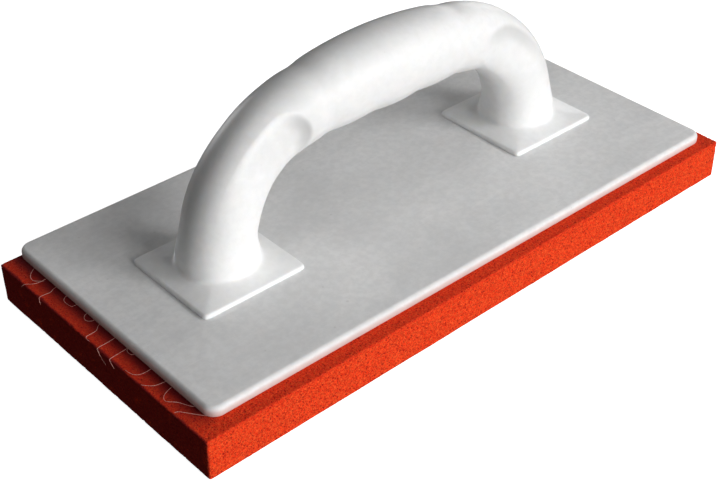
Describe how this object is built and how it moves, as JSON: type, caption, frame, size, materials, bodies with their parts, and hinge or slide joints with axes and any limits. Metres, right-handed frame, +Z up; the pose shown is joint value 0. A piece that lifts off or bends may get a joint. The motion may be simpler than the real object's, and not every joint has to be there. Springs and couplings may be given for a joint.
{
  "type": "sponge rubber hand float",
  "caption": "Flat plastic float board with a moulded bow handle on square feet and a thick sponge rubber pad glued underneath, for rubbing up plaster and washing down grout.",
  "frame": {"origin": "centre of the rubber pad's working face, which is the face the tool rests on", "axes": "+X along the length from heel to toe, +Y across the width, +Z up out of the pad through the handle"},
  "size_m": [0.27, 0.1309, 0.0921],
  "materials": {
    "sponge_rubber": "open-pored cellular rubber, matte orange-red, cut faces",
    "bond_scrim": "thin woven scrim soaked in dried adhesive, pale pinkish white",
    "board_plastic": "moulded white thermoplastic with faint flow marbling and fine scuffs, satin",
    "handle_plastic": "moulded white thermoplastic with a fine mould texture, satin",
    "screw_steel": "bright zinc-plated steel"
  },
  "bodies": {
    "root": {"sponge_pad": "sponge_rubber", "bonding_layer": "bond_scrim", "backing_board": "board_plastic", "handle": "handle_plastic", "heel_screw_left": "screw_steel", "heel_screw_right": "screw_steel", "toe_screw_left": "screw_steel", "toe_screw_right": "screw_steel"}
  },
  "joints": []
}
